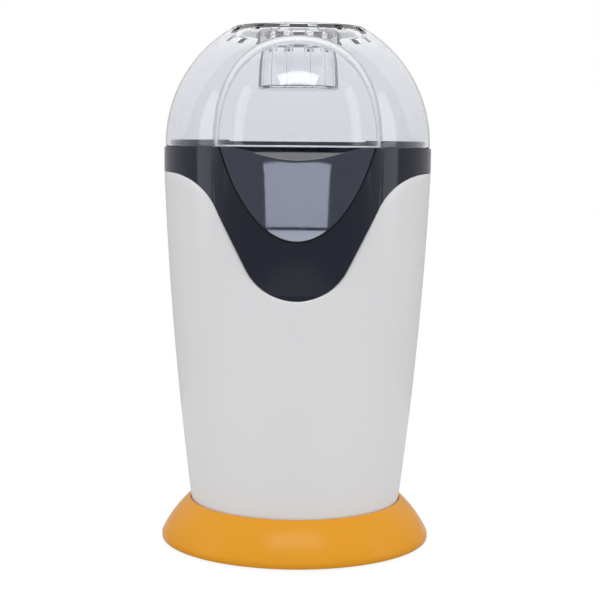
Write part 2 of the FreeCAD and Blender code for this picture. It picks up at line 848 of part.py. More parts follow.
def motor_can():
    can = turned([
        (bush_r + press_gap, fan_floor_z - motor_wall),
        (motor_r - motor_wall, fan_floor_z - motor_wall),
        (motor_r - motor_wall, motor_z),
        (motor_r, motor_z),
        (motor_r, fan_floor_z),
        (motor_nose_r, fan_floor_z),
        (motor_nose_r, fan_top),
        (bush_r + press_gap, fan_top),
    ])
    return can.cut(screw_holes(motor_screw_r, motor_screw_angles, fan_floor_z, down, motor_wall))


def motor_end_cap():
    plug_r = motor_r - motor_wall - screw_gap
    plug_top = motor_z + end_cap_plug
    return turned([
        (0, end_cap_z),
        (motor_r, end_cap_z),
        (motor_r, motor_z),
        (plug_r, motor_z),
        (plug_r, plug_top),
        (bush_r + press_gap, plug_top),
        (bush_r + press_gap, rear_bush_z),
        (shaft_r + rotor_gap, rear_bush_z),
        (shaft_r + rotor_gap, shaft_z - running_gap),
        (0, shaft_z - running_gap),
    ])


def bush(start_z):
    return tube(shaft_r + running_gap, bush_r, start_z, start_z + bush_length)


magnet_outer_r = motor_r - motor_wall - screw_gap
magnet_z = motor_z + end_cap_plug + magnet_gap
magnet_top = fan_floor_z - motor_wall - bush_length
rotor_r = magnet_outer_r - magnet_thickness - rotor_gap


def motor_magnets():
    outline = [
        (magnet_outer_r - magnet_thickness, magnet_z),
        (magnet_outer_r, magnet_z),
        (magnet_outer_r, magnet_top),
        (magnet_outer_r - magnet_thickness, magnet_top),
    ]
    return Part.makeCompound(spun(turned(outline, 0.0, magnet_angle), even_angles(2)))


def rotor():
    core_z = magnet_z + rotor_rise
    core_top = magnet_top - motor_wall
    core = tube(shaft_r + press_gap, rotor_r, core_z, core_top)
    slot = box_between(
        Vector(rotor_r / 2, -rotor_slot_width / 2, core_z),
        Vector(reach, rotor_slot_width / 2, core_top),
    )
    return core.cut(spun(slot, even_angles(rotor_slots)))


rectifier_z = end_cap_z - rectifier_thickness


def rectifier_board():
    half = rectifier_width / 2
    return box_between(Vector(-half, -half, rectifier_z), Vector(half, half, end_cap_z))


def rectifier_diodes():
    diodes = []
    for i in range(4):
        x = diode_step * (i - 1.5)
        middle = Vector(x, -diode_length / 2, rectifier_z - diode_r - running_gap)
        diodes.append(pin(diode_r, middle, Vector(0, 1, 0), diode_length))
    return Part.makeCompound(diodes)


rocker_reach = math.hypot(rocker_height / 2, rocker_rise)
rocker_lean = math.atan2(rocker_rise, rocker_height / 2) - math.radians(rocker_swing)
rocker_room = 2 * (rocker_reach * math.cos(rocker_lean) + rocker_gap)
cavity_width = rocker_width + 2 * rocker_gap
switch_body_width = cavity_width + 2 * (trunnion_length + running_gap)
switch_body_height = rocker_room + 2 * tab_thickness
pivot_y = pad_rise


def switch_body():
    bezel_y = pad_rise + switch_bezel
    body = even_box(switch_width, pad_rise, bezel_y, switch_height)
    body = body.fuse(even_box(switch_body_width, -switch_depth, pad_rise, switch_body_height))
    cavity_depth = rocker_reach * math.sin(math.radians(rocker_swing)) + rocker_tail + rocker_gap
    body = body.cut(even_box(cavity_width, pivot_y - cavity_depth, bezel_y, rocker_room))
    hole_length = cavity_width + 2 * (trunnion_length - rocker_gap + running_gap)
    hole = pin(trunnion_r + running_gap, Vector(-hole_length / 2, pivot_y, 0), Vector(1, 0, 0), hole_length)
    tabs = []
    for side in (-1, 1):
        tabs.append(box_between(
            Vector(-tab_width / 2, -switch_depth - tab_length, side * tab_offset - tab_thickness / 2),
            Vector(tab_width / 2, -switch_depth, side * tab_offset + tab_thickness / 2),
        ))
    return placed(body.cut(hole).fuse(tabs), rear_place(switch_z))


def switch_rocker():
    half = rocker_height / 2
    foot = half - rocker_tail - rocker_gap
    key = drawn_along_x([
        (pivot_y - rocker_tail, -foot),
        (pivot_y + rocker_rise, -half),
        ((pivot_y + rocker_rise - rocker_dip, 0), (pivot_y + rocker_rise, half)),
        (pivot_y - rocker_tail, foot),
    ], rocker_width / 2)
    length = rocker_width + 2 * trunnion_length
    key = key.fuse(pin(trunnion_r, Vector(-length / 2, pivot_y, 0), Vector(1, 0, 0), length))
    key.rotate(Vector(0, pivot_y, 0), Vector(1, 0, 0), -rocker_swing)
    return placed(key, rear_place(switch_z))


def cord_gland():
    outer_y = pad_rise + gland_flange
    inner_y = -pad_depth - gland_flange
    outer_flange = even_pin(gland_flange_r, pad_rise, outer_y)
    neck = even_pin(gland_neck_r, -pad_depth, pad_rise)
    inner_flange = even_pin(gland_flange_r, inner_y, -pad_depth)
    gland = outer_flange.fuse([neck, inner_flange]).cut(even_pin(gland_bore_r, inner_y, outer_y))
    return placed(gland, rear_place(gland_z))


pieces = {
    "base_ring": base_ring(),
    "base_plate": base_plate(),
    "foot_ring": foot_ring(),
    "base_screws": screw_set(base_screw_r, base_screw_angles, plate_z, up, plate_thickness),
    "post_screws": screw_set(post_r, post_angles, plate_z, up, plate_thickness),
    "main_housing": main_housing(),
    "collar": collar(),
    "collar_screws": screw_set(
        collar_screw_r, collar_screw_angles, collar_boss_z - collar_boss_height, up, collar_boss_height),
    "dome_cover": dome_cover(),
    "measuring_cup": measuring_cup(),
    "popping_chamber": popping_chamber(),
    "insulating_ring": insulating_ring(),
    "chamber_screws": screw_set(
        chamber_screw_r, chamber_screw_angles, insulator_z, up, insulator_thickness + sheet - collar_wall),
    "heater_sleeve": heater_sleeve(),
    "heater_board_x": heater_board(True, [0.0, 180.0]),
    "heater_board_y": heater_board(False, [90.0, 270.0]),
    "heater_coil": heater_coil(),
    "thermostat": thermostat(),
    "thermal_fuse": thermal_fuse(),
    "fan_housing": fan_housing(),
    "fan_impeller": fan_impeller(),
    "motor_shaft": motor_shaft(),
    "rotor": rotor(),
    "motor_can": motor_can(),
    "motor_magnets": motor_magnets(),
    "motor_end_cap": motor_end_cap(),
    "front_bush": bush(front_bush_z),
    "rear_bush": bush(rear_bush_z),
    "motor_screws": screw_set(
        motor_screw_r, motor_screw_angles, fan_top, down, fan_floor + motor_wall - screw_bite),
    "rectifier_board": rectifier_board(),
    "rectifier_diodes": rectifier_diodes(),
    "switch_body": switch_body(),
    "switch_rocker": switch_rocker(),
    "cord_gland": cord_gland(),
}

os.makedirs("parts", exist_ok=True)
for name, shape in pieces.items():
    shape.exportStep("parts/" + name + ".step")
    print(name, shape.isValid(), len(shape.Solids), round(shape.Volume, 1))
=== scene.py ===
import bpy
import json
import math
from mathutils import Matrix, Vector


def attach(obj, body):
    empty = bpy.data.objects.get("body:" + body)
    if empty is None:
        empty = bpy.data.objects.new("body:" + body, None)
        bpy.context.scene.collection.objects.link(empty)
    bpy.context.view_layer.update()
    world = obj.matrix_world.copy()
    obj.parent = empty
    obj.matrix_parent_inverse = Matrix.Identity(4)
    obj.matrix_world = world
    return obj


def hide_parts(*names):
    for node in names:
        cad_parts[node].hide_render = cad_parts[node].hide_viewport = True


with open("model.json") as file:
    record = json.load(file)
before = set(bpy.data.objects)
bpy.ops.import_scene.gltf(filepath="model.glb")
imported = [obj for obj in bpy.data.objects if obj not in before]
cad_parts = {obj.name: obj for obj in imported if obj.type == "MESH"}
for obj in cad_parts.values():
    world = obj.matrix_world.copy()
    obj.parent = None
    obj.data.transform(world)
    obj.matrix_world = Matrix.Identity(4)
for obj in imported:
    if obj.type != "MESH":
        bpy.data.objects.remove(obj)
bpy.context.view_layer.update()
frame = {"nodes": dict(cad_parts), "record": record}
mm = 0.001
scene = bpy.context.scene
scene.view_settings.view_transform = "Standard"
print("frame loaded with", len(frame["nodes"]), "nodes")

welds = {"join": 1e-6, "sliver": 1e-7, "cutJoin": 0.02 * mm, "cutSliver": 0.01 * mm}


def only(piece):
    if bpy.context.mode != "OBJECT":
        bpy.ops.object.mode_set(mode="OBJECT")
    bpy.ops.object.select_all(action="DESELECT")
    if piece:
        piece.select_set(True)
        bpy.context.view_layer.objects.active = piece


def edit(piece, select="SELECT"):
    only(piece)
    bpy.ops.object.mode_set(mode="EDIT")
    bpy.ops.mesh.select_all(action=select)


def welded(piece):
    edit(piece)
    bpy.ops.mesh.remove_doubles(threshold=welds["join"])
    bpy.ops.mesh.dissolve_degenerate(threshold=welds["sliver"])
    bpy.ops.mesh.select_all(action="SELECT")
    bpy.ops.mesh.normals_make_consistent(inside=False)
    only(piece)
    return piece


def drawn(name, outline):  # one point drawn out along an outline, in mm
    only(None)
    bpy.ops.mesh.primitive_plane_add(size=mm)
    piece = bpy.context.object
    piece.name = name
    edit(piece)
    bpy.ops.mesh.merge(type="CENTER")
    last = Vector((0, 0, 0))
    for step, point in enumerate(outline):
        here = Vector(point) * mm
        if step:
            bpy.ops.mesh.extrude_region_move(TRANSFORM_OT_translate={"value": here - last})
        else:
            bpy.ops.transform.translate(value=here)
        last = here
    bpy.ops.mesh.select_all(action="SELECT")
    return piece


def lathe(name, outline, steps=240):  # outline of (radius, height), turned about Z
    piece = drawn(name, [(radius, 0, z) for radius, z in outline])
    bpy.ops.mesh.spin(steps=steps, angle=2 * math.pi, center=(0, 0, 0), axis=(0, 0, 1))
    return welded(piece)


def prism(name, outline, start, end):  # outline of (x, z), drawn out along Y
    piece = drawn(name, [(x, start, z) for x, z in outline + outline[:1]])
    bpy.ops.mesh.remove_doubles(threshold=welds["join"])
    bpy.ops.mesh.select_all(action="SELECT")
    bpy.ops.mesh.edge_face_add()
    bpy.ops.mesh.extrude_region_move(TRANSFORM_OT_translate={"value": (0, (end - start) * mm, 0)})
    return welded(piece)


def sheet(name, columns, rows, place):  # a grid, its corners put by place in mm
    only(None)
    bpy.ops.mesh.primitive_grid_add(x_subdivisions=columns, y_subdivisions=rows, size=2)
    piece = bpy.context.object
    piece.name = name
    for corner in piece.data.vertices:
        column = round((corner.co.x + 1) / 2 * columns)
        row = round((corner.co.y + 1) / 2 * rows)
        corner.co = Vector(place(column, row)) * mm
    return welded(piece)


def block(name, low, high):
    only(None)
    middle = [(a + b) / 2 * mm for a, b in zip(low, high)]
    size = [(b - a) * mm for a, b in zip(low, high)]
    bpy.ops.mesh.primitive_cube_add(size=1, location=middle)
    piece = bpy.context.object
    piece.name = name
    piece.scale = size
    bpy.ops.object.transform_apply(location=True, rotation=True, scale=True)
    return piece


def slab(name, width, height, start, end, z=0.0):  # block about the Y axis from start to end
    return block(name, (-width / 2, start, z - height / 2), (width / 2, end, z + height / 2))


def bar(name, radius, start, end, sides):  # round bar between two points
    start, end = Vector(start) * mm, Vector(end) * mm
    way = end - start
    only(None)
    bpy.ops.mesh.primitive_cylinder_add(vertices=sides, radius=radius * mm, depth=way.length)
    piece = bpy.context.object
    piece.name = name
    turned = way.to_track_quat("Z", "Y").to_matrix().to_4x4()
    piece.matrix_world = Matrix.Translation((start + end) / 2) @ turned
    bpy.ops.object.transform_apply(location=True, rotation=True, scale=True)
    return piece


def modified(piece, kind, **settings):
    only(piece)
    bpy.ops.object.modifier_add(type=kind)
    change = piece.modifiers[-1]
    for key, value in settings.items():
        setattr(change, key, value)
    bpy.ops.object.modifier_apply(modifier=change.name)
    return piece


def combined(piece, tool, way="DIFFERENCE"):
    modified(piece, "BOOLEAN", object=tool, operation=way, solver="EXACT")
    bpy.data.objects.remove(tool)
    return piece


def cleaned(piece):  # takes out the slivers that cuts leave
    edit(piece)
    bpy.ops.mesh.remove_doubles(threshold=welds["cutJoin"])
    bpy.ops.mesh.dissolve_degenerate(threshold=welds["cutSliver"])
    bpy.ops.mesh.select_all(action="SELECT")
    bpy.ops.mesh.fill_holes(sides=0)
    only(piece)
    return piece


def rounded(piece, width, segments=3, angle=40):
    return modified(piece, "BEVEL", width=width * mm, segments=segments, limit_method="ANGLE",
                    angle_limit=math.radians(angle), use_clamp_overlap=True, harden_normals=False)


def smoothed(piece, angle=35):
    only(piece)
    bpy.ops.object.shade_smooth_by_angle(angle=math.radians(angle))
    return piece


def joined(piece, others):
    only(piece)
    for other in others:
        other.select_set(True)
    bpy.ops.object.join()
    return piece


def copied(piece):
    other = piece.copy()
    other.data = piece.data.copy()
    scene.collection.objects.link(other)
    return other


def standing(piece, place):  # puts a piece modelled about the origin in its place
    only(piece)
    piece.matrix_world = place
    bpy.ops.object.transform_apply(location=True, rotation=True, scale=True)
    return piece


def evenRun(first, last, count):
    return [first + (last - first) * i / count for i in range(count + 1)]


def arcRun(centreR, centreZ, radius, first, last, count):
    turns = [math.radians(turn) for turn in evenRun(first, last, count)]
    return [(centreR + radius * math.cos(t), centreZ + radius * math.sin(t)) for t in turns]


def coated(piece, look):
    piece.data.materials.clear()
    piece.data.materials.append(look)
    return piece


def placed(piece, body, slot, look, *nodes):
    if look:
        coated(piece, look)
    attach(piece, body)
    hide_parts(*nodes)
    print("placed", piece.name, len(piece.data.polygons), "faces")


def shared(name, inputs, outputs):  # an empty node group with its sockets
    group = bpy.data.node_groups.new(name, "ShaderNodeTree")
    for label, kind, value in inputs:
        socket = group.interface.new_socket(name=label, in_out="INPUT", socket_type=kind)
        if value is not None:
            socket.default_value = value
    for label, kind in outputs:
        group.interface.new_socket(name=label, in_out="OUTPUT", socket_type=kind)
    return group, group.nodes.new("NodeGroupInput"), group.nodes.new("NodeGroupOutput")


def noise(tree, vector, scale, detail, rough):
    node = tree.nodes.new("ShaderNodeTexNoise")
    node.inputs["Detail"].default_value = detail
    node.inputs["Roughness"].default_value = rough
    if isinstance(scale, (int, float)):
        node.inputs["Scale"].default_value = scale
    else:
        tree.links.new(scale, node.inputs["Scale"])
    tree.links.new(vector, node.inputs["Vector"])
    return node.outputs["Fac"]


def ranged(tree, value, low, high, toLow, toHigh):
    node = tree.nodes.new("ShaderNodeMapRange")
    settings = {"From Min": low, "From Max": high, "To Min": toLow, "To Max": toHigh}
    for key, setting in settings.items():
        node.inputs[key].default_value = setting
    tree.links.new(value, node.inputs["Value"])
    return node.outputs["Result"]


def summed(tree, first, second, way="ADD"):
    node = tree.nodes.new("ShaderNodeMath")
    node.operation = way
    for i, term in enumerate((first, second)):
        if isinstance(term, (int, float)):
            node.inputs[i].default_value = term
        else:
            tree.links.new(term, node.inputs[i])
    return node.outputs[0]


surfaceIn = [("Vector", "NodeSocketVector", None), ("Grain", "NodeSocketFloat", 900.0)]
surfaceOut = [(label, "NodeSocketFloat") for label in ("Drift", "Marks", "Height")]


def linked(group, ends, **results):
    for label, result in results.items():
        group.links.new(result, ends.inputs[label])


# moulded skin: broad drift of tone, fine grain and faint handling marks
skinNoise = {"drift": (14.0, 3.0, 0.5), "marks": (70.0, 6.0, 0.7), "grain": (2.0, 0.5),
             "markRange": (0.35, 0.75, 0.0, 1.0)}
mouldedSkin, skinIn, skinOut = shared("mouldedSkin", surfaceIn, surfaceOut)
skinPlace, skinGrain = skinIn.outputs["Vector"], skinIn.outputs["Grain"]
skinMarks = noise(mouldedSkin, skinPlace, *skinNoise["marks"])
linked(mouldedSkin, skinOut,
       Drift=noise(mouldedSkin, skinPlace, *skinNoise["drift"]),
       Marks=ranged(mouldedSkin, skinMarks, *skinNoise["markRange"]),
       Height=noise(mouldedSkin, skinPlace, skinGrain, *skinNoise["grain"]))

# drawn metal: streaks along Z with spots of tarnish
metalNoise = {"drift": (60.0, 5.0, 0.6), "streaks": (4.0, 0.6), "stretch": (1.0, 1.0, 0.06)}
drawnMetal, metalIn, metalOut = shared("drawnMetal", surfaceIn, surfaceOut)
metalPlace = drawnMetal.nodes.new("ShaderNodeMapping")
metalPlace.inputs["Scale"].default_value = metalNoise["stretch"]
drawnMetal.links.new(metalIn.outputs["Vector"], metalPlace.inputs["Vector"])
metalGrain = metalIn.outputs["Grain"]
metalStreaks = noise(drawnMetal, metalPlace.outputs["Vector"], metalGrain, *metalNoise["streaks"])
linked(drawnMetal, metalOut,
       Drift=noise(drawnMetal, metalIn.outputs["Vector"], *metalNoise["drift"]),
       Marks=metalStreaks, Height=metalStreaks)


def finish(name, tone, drift=0.04, rough=(0.3, 0.4), grain=900.0, relief=0.02, metal=0.0, coat=0.0,
           clear=0.0, bend=1.5, sheen=(1, 1, 1), group=None, second=None):
    look = bpy.data.materials.new(name)
    look.use_nodes = True
    tree = look.node_tree
    surface = tree.nodes["Principled BSDF"]
    place = tree.nodes.new("ShaderNodeTexCoord")
    skin = tree.nodes.new("ShaderNodeGroup")
    skin.node_tree = group or mouldedSkin
    skin.inputs[1].default_value = grain
    tree.links.new(place.outputs["Object"], skin.inputs["Vector"])
    blend = tree.nodes.new("ShaderNodeMix")
    blend.data_type = "RGBA"
    blend.inputs["A"].default_value = [c * (1 - drift) for c in tone] + [1]
    blend.inputs["B"].default_value = [min(1, c * (1 + drift)) for c in (second or tone)] + [1]
    tree.links.new(skin.outputs["Drift"], blend.inputs["Factor"])
    tree.links.new(blend.outputs["Result"], surface.inputs["Base Color"])
    roughness = ranged(tree, skin.outputs["Marks"], 0.0, 1.0, *rough)
    tree.links.new(roughness, surface.inputs["Roughness"])
    bump = tree.nodes.new("ShaderNodeBump")
    bump.inputs["Strength"].default_value = relief
    bump.inputs["Distance"].default_value = 0.5 * mm
    tree.links.new(skin.outputs["Height"], bump.inputs["Height"])
    tree.links.new(bump.outputs["Normal"], surface.inputs["Normal"])
    surface.inputs["Metallic"].default_value = metal
    surface.inputs["Coat Weight"].default_value = coat
    surface.inputs["Transmission Weight"].default_value = clear
    surface.inputs["IOR"].default_value = bend
    surface.inputs["Specular Tint"].default_value = (*sheen, 1)
    return look


lookSettings = {
    "base_yellow": {"name": "yellowPlastic", "tone": (0.63, 0.268, 0.014), "drift": 0.03,
                    "rough": (0.2, 0.28), "grain": 1400.0, "relief": 0.02, "bend": 1.22},
    "housing_white": {"name": "whitePlastic", "tone": (0.72, 0.722, 0.735), "drift": 0.012,
                      "rough": (0.2, 0.28), "grain": 1500.0, "relief": 0.015},
    "collar_black": {"name": "blackPlastic", "tone": (0.008, 0.009, 0.0195), "drift": 0.1,
                     "rough": (0.08, 0.13), "grain": 1500.0, "relief": 0.006, "bend": 1.45,
                     "sheen": (0.88, 0.92, 1.0)},
    "clear_plastic": {"name": "clearPlastic", "tone": (0.828, 0.84, 0.874), "drift": 0.004,
                      "rough": (0.0, 0.02), "grain": 300.0, "relief": 0.002, "clear": 1.0,
                      "bend": 1.4},
    "foot_rubber": {"name": "rubber", "tone": (0.03, 0.03, 0.03), "drift": 0.2,
                    "rough": (0.6, 0.8), "grain": 1200.0, "relief": 0.2},
    "plate_grey": {"name": "greyPlastic", "tone": (0.16, 0.16, 0.17), "drift": 0.08,
                   "rough": (0.4, 0.5), "grain": 1200.0, "relief": 0.06},
    "fan_plastic": {"name": "fanPlastic", "tone": (0.05, 0.05, 0.055), "drift": 0.1,
                    "rough": (0.35, 0.5), "grain": 1200.0, "relief": 0.05},
    "switch_plastic": {"name": "switchPlastic", "tone": (0.012, 0.012, 0.013), "drift": 0.1,
                       "rough": (0.22, 0.32), "grain": 1800.0, "relief": 0.03},
    "gland_plastic": {"name": "glandPlastic", "tone": (0.02, 0.02, 0.021), "drift": 0.12,
                      "rough": (0.4, 0.55), "grain": 1800.0, "relief": 0.06},
    "screw_steel": {"name": "screwSteel", "tone": (0.55, 0.55, 0.56), "drift": 0.08,
                    "rough": (0.25, 0.4), "grain": 900.0, "relief": 0.03, "metal": 1.0,
                    "group": drawnMetal},
    "chamber_aluminium": {"name": "aluminium", "tone": (0.72, 0.72, 0.73), "drift": 0.06,
                          "rough": (0.22, 0.38), "grain": 500.0, "relief": 0.03, "metal": 1.0,
                          "group": drawnMetal},
    "sleeve_steel": {"name": "sleeveSteel", "tone": (0.5, 0.5, 0.5), "drift": 0.1,
                     "rough": (0.3, 0.45), "grain": 500.0, "relief": 0.04, "metal": 1.0,
                     "group": drawnMetal},
    "mica": {"name": "mica", "tone": (0.36, 0.3, 0.2), "drift": 0.2, "rough": (0.3, 0.5),
             "grain": 260.0, "relief": 0.1, "second": (0.5, 0.43, 0.3)},
    "heating_wire": {"name": "heatingWire", "tone": (0.28, 0.26, 0.25), "drift": 0.15,
                     "rough": (0.35, 0.55), "grain": 800.0, "relief": 0.05, "metal": 1.0,
                     "group": drawnMetal},
    "thermostat_metal": {"name": "thermostatMetal", "tone": (0.6, 0.58, 0.54), "drift": 0.08,
                         "rough": (0.25, 0.4), "grain": 700.0, "relief": 0.03, "metal": 1.0,
                         "group": drawnMetal},
    "insulator_resin": {"name": "insulator", "tone": (0.1, 0.055, 0.03), "drift": 0.15,
                        "rough": (0.45, 0.6), "grain": 700.0, "relief": 0.1},
    "motor_steel": {"name": "motorSteel", "tone": (0.52, 0.52, 0.53), "drift": 0.08,
                    "rough": (0.25, 0.42), "grain": 700.0, "relief": 0.03, "metal": 1.0,
                    "group": drawnMetal},
    "magnet_ferrite": {"name": "ferrite", "tone": (0.045, 0.045, 0.05), "drift": 0.2,
                       "rough": (0.5, 0.7), "grain": 700.0, "relief": 0.15},
    "bush_bronze": {"name": "bronze", "tone": (0.5, 0.3, 0.13), "drift": 0.1, "rough": (0.3, 0.45),
                    "grain": 700.0, "relief": 0.05, "metal": 1.0, "group": drawnMetal},
    "board_resin": {"name": "board", "tone": (0.3, 0.19, 0.07), "drift": 0.12,
                    "rough": (0.4, 0.55), "grain": 500.0, "relief": 0.06},
    "diode_black": {"name": "diodes", "tone": (0.02, 0.02, 0.022), "drift": 0.15,
                    "rough": (0.4, 0.5), "grain": 900.0, "relief": 0.05},
}
looks = {slot: finish(**settings) for slot, settings in lookSettings.items()}
for part in frame["record"]["subparts"]:
    mesh = frame["nodes"][part["node"]].data
    mesh.materials.clear()
    mesh.materials.append(looks[part["material_slot"]])

# painted light at the crown: the clear plastic keeps its full tint in the walls and is painted
# lighter near the axis, where the crown is
crownPaintedLight = {"tone": (0.97, 0.974, 0.982, 1), "paintedLightTo": 0.045, "deepFrom": 0.052}
tree = looks["clear_plastic"].node_tree
surface = tree.nodes["Principled BSDF"]
spread = tree.nodes.new("ShaderNodeSeparateXYZ")
tree.links.new(tree.nodes["Texture Coordinate"].outputs["Object"], spread.inputs["Vector"])
squares = [summed(tree, spread.outputs[axis], spread.outputs[axis], "MULTIPLY") for axis in "XY"]
# painted light: the lighter crown tone is mixed in from 52 mm to 45 mm off the axis
crownLightMix = tree.nodes.new("ShaderNodeMix")
crownLightMix.data_type = "RGBA"
crownLightMix.inputs["B"].default_value = crownPaintedLight["tone"]
paintedLightReach = (crownPaintedLight["paintedLightTo"] ** 2, crownPaintedLight["deepFrom"] ** 2)
tree.links.new(ranged(tree, summed(tree, *squares), *paintedLightReach, 1.0, 0.0), crownLightMix.inputs["Factor"])
tree.links.new(surface.inputs["Base Color"].links[0].from_socket, crownLightMix.inputs["A"])
tree.links.new(crownLightMix.outputs["Result"], surface.inputs["Base Color"])
print("materials made:", len(looks))

body = {"rim": 236.0, "seam": 221.5, "foot": 22.2, "radius": 79.3, "taper": 16.7, "bow": 2.2,
        "wall": 2.5}
rise = body["seam"] - body["foot"]


def bodyShare(z):  # -1 at the foot, 1 at the seam
    return 2 * (z - body["foot"]) / rise - 1


def housingRadius(z):
    share = bodyShare(z)
    return body["radius"] - body["taper"] * (1 - share) / 2 + body["bow"] * (1 - share ** 2)


def rearPlace(z):  # local Y out of the rear wall, local Z up it
    slope = math.atan((body["taper"] - 4 * body["bow"] * bodyShare(z)) / rise)
    place = Matrix.Translation(Vector((0, housingRadius(z), z)) * mm)
    return place @ Matrix.Rotation(-slope, 4, "X")


wave = {"bottom": 151.2, "bottomR": 31.9, "shoulderR": 34.1, "halfWidth": 76.5}


def waveHeight(x, lift=0.0):  # two arcs and the straight line between them
    bottomZ = wave["bottom"] + wave["bottomR"]
    shoulderZ = body["seam"] - wave["shoulderR"]
    bottomR, shoulderR = wave["bottomR"] - lift, wave["shoulderR"] + lift
    wide, climb = wave["halfWidth"], shoulderZ - bottomZ
    slope = math.atan2(climb, wide)
    slope += math.asin((wave["bottomR"] + wave["shoulderR"]) / math.hypot(wide, climb))
    x = abs(x)
    if x >= wide:
        return body["seam"] + lift
    if x >= wide - shoulderR * math.sin(slope):
        return shoulderZ + math.sqrt(shoulderR ** 2 - (wide - x) ** 2)
    if x <= bottomR * math.sin(slope):
        return bottomZ - math.sqrt(bottomR ** 2 - x ** 2)
    low = (bottomR * math.sin(slope), bottomZ - bottomR * math.cos(slope))
    return low[1] + (x - low[0]) * math.tan(slope)


# base ring and its rubber foot
base = {"radius": 80.7, "topR": 64.68, "gap": 1.2, "flareZ": 3.7, "height": 25.2, "bow": 1.6,
        "wall": 2.743, "bore": 63.28, "shelf": 58.28, "shelfTop": 22.2, "shelfUnder": 20.0,
        "steps": 16, "round": 0.5, "roundAngle": 32}


def flareRadius(z):
    share = 2 * (z - base["flareZ"]) / (base["height"] - base["flareZ"]) - 1
    straight = base["radius"] + (base["topR"] - base["radius"]) * (share + 1) / 2
    return straight + base["bow"] * (1 - share ** 2)


flareRun = evenRun(base["flareZ"], base["height"], base["steps"])
innerRun = evenRun(base["shelfUnder"], base["flareZ"], base["steps"])
baseOutline = [(base["radius"] - base["wall"], base["gap"]), (base["radius"], base["gap"])]
baseOutline += [(flareRadius(z), z) for z in flareRun]
baseOutline += [(base["bore"], base["height"]), (base["bore"], base["shelfTop"])]
baseOutline += [(base["shelf"], base["shelfTop"]), (base["shelf"], base["shelfUnder"])]
baseOutline += [(flareRadius(z) - base["wall"], z) for z in innerRun]
baseOutline.append(baseOutline[0])
baseRing = lathe("baseRing", baseOutline)
smoothed(rounded(baseRing, base["round"], angle=base["roundAngle"]))
placed(baseRing, "housing", "base_yellow", looks["base_yellow"], "base_ring")

foot = {"inner": 73.3, "outer": 75.99, "top": 5.0, "round": 0.6}
footRing = lathe("footRing", [(foot["inner"], 0), (foot["outer"], 0), (foot["outer"], foot["top"]),
                              (foot["inner"], foot["top"]), (foot["inner"], 0)])
smoothed(rounded(footRing, foot["round"]))
placed(footRing, "housing", "foot_rubber", looks["foot_rubber"], "foot_ring")

# housing: a sheet wrapped up to the wave's edge, given its wall, with pads for the rear fittings
housing = {"columns": 288, "rows": 40, "edgeRound": 0.6, "edgeAngle": 50, "edgeTries": 12,
           "padWidth": 21.0, "padHeight": 27.0, "padDepth": 4.0, "padRise": 0.8, "padRound": 0.7,
           "openWidth": 12.5, "openHeight": 18.64, "glandPad": 8.0, "glandRound": 0.5,
           "glandHole": 5.0, "cutReach": 9.0, "cutSides": 64, "padSides": 96, "smooth": 40,
           "switchZ": 59.0, "glandZ": 35.0}


def edgeAt(turn):  # height of the wave on the body's skin, by the turn from the front
    z = body["seam"]
    if math.cos(turn) > 0:
        for i in range(housing["edgeTries"]):
            z = waveHeight(housingRadius(z) * math.sin(turn))
    return z


housingEdge = [edgeAt(turn) for turn in evenRun(0, 2 * math.pi, housing["columns"])]


def housingPlace(column, row):
    turn = 2 * math.pi * column / housing["columns"]
    z = body["foot"] + (housingEdge[column] - body["foot"]) * row / housing["rows"]
    return housingRadius(z) * math.sin(turn), -housingRadius(z) * math.cos(turn), z


mainHousing = sheet("mainHousing", housing["columns"], housing["rows"], housingPlace)
modified(mainHousing, "SOLIDIFY", thickness=body["wall"] * mm, offset=-1, use_even_offset=True)
rounded(mainHousing, housing["edgeRound"], angle=housing["edgeAngle"])
switchPlace, glandPlace = rearPlace(housing["switchZ"]), rearPlace(housing["glandZ"])
reach, padBack, padFront = housing["cutReach"], -housing["padDepth"], housing["padRise"]
switchCut = slab("cut", housing["openWidth"], housing["openHeight"], -reach, reach)
glandCut = bar("cut", housing["glandHole"], (0, -reach, 0), (0, reach, 0), housing["cutSides"])
switchPad = slab("pad", housing["padWidth"], housing["padHeight"], padBack, padFront)
glandPad = bar("pad", housing["glandPad"], (0, padBack, 0), (0, padFront, 0), housing["padSides"])
for fitting, place in ((switchCut, switchPlace), (switchPad, switchPlace),
                       (glandCut, glandPlace), (glandPad, glandPlace)):
    standing(fitting, place)
combined(rounded(switchPad, housing["padRound"], 4), copied(switchCut))
combined(rounded(glandPad, housing["glandRound"]), copied(glandCut))
combined(mainHousing, switchCut)
cleaned(combined(mainHousing, glandCut))
smoothed(joined(mainHousing, [switchPad, glandPad]), housing["smooth"])
placed(mainHousing, "housing", "housing_white", looks["housing_white"], "main_housing")

# collar: band, bib with its spout, dome seat, funnel and the hollow outlet slide
collar = {"wall": 2.5, "seam": 0.3, "ringOuter": 75.7, "ringInner": 73.5, "ringTop": 240.0,
          "ringNip": 0.5, "mouth": 47.0, "mouthZ": 228.0, "neckZ": 221.0, "half": 48.0,
          "front": 92.0, "fall": 62.0, "trough": 72.0, "lipY": 58.0, "lipZ": 229.0,
          "lipRound": 3.0, "lipSteps": 6, "start": 47.6, "slideLength": 130.0, "slideSteps": 12,
          "reach": 52.0, "across": 82, "arcs": 72, "rows": 44, "steps": 288, "lowZ": 142.0,
          "lowRows": 20, "waveSteps": 300, "edgeBead": 0.6, "edgeSteps": 96, "edgeFrom": 0.2,
          "beadSides": 12, "slideHalf": 50.0, "slideNear": 0.3, "slideTurn": 0.5, "smooth": 25,
          "toolHub": -20.0, "toolEndHub": (-100.0, 222.0), "toolRise": 160.0,  # ends of the tools
          "toolFunnelZ": 137.0, "toolOver": 9.0, "toolLap": 1.0, "toolMouthLap": 0.29,
          "toolDeckLap": 0.6, "toolRimLap": 0.05, "toolWide": 120.0, "toolLow": 100.0,
          "toolFar": 200.0, "toolFrontTo": 0.5, "toolRearFrom": -4.0}


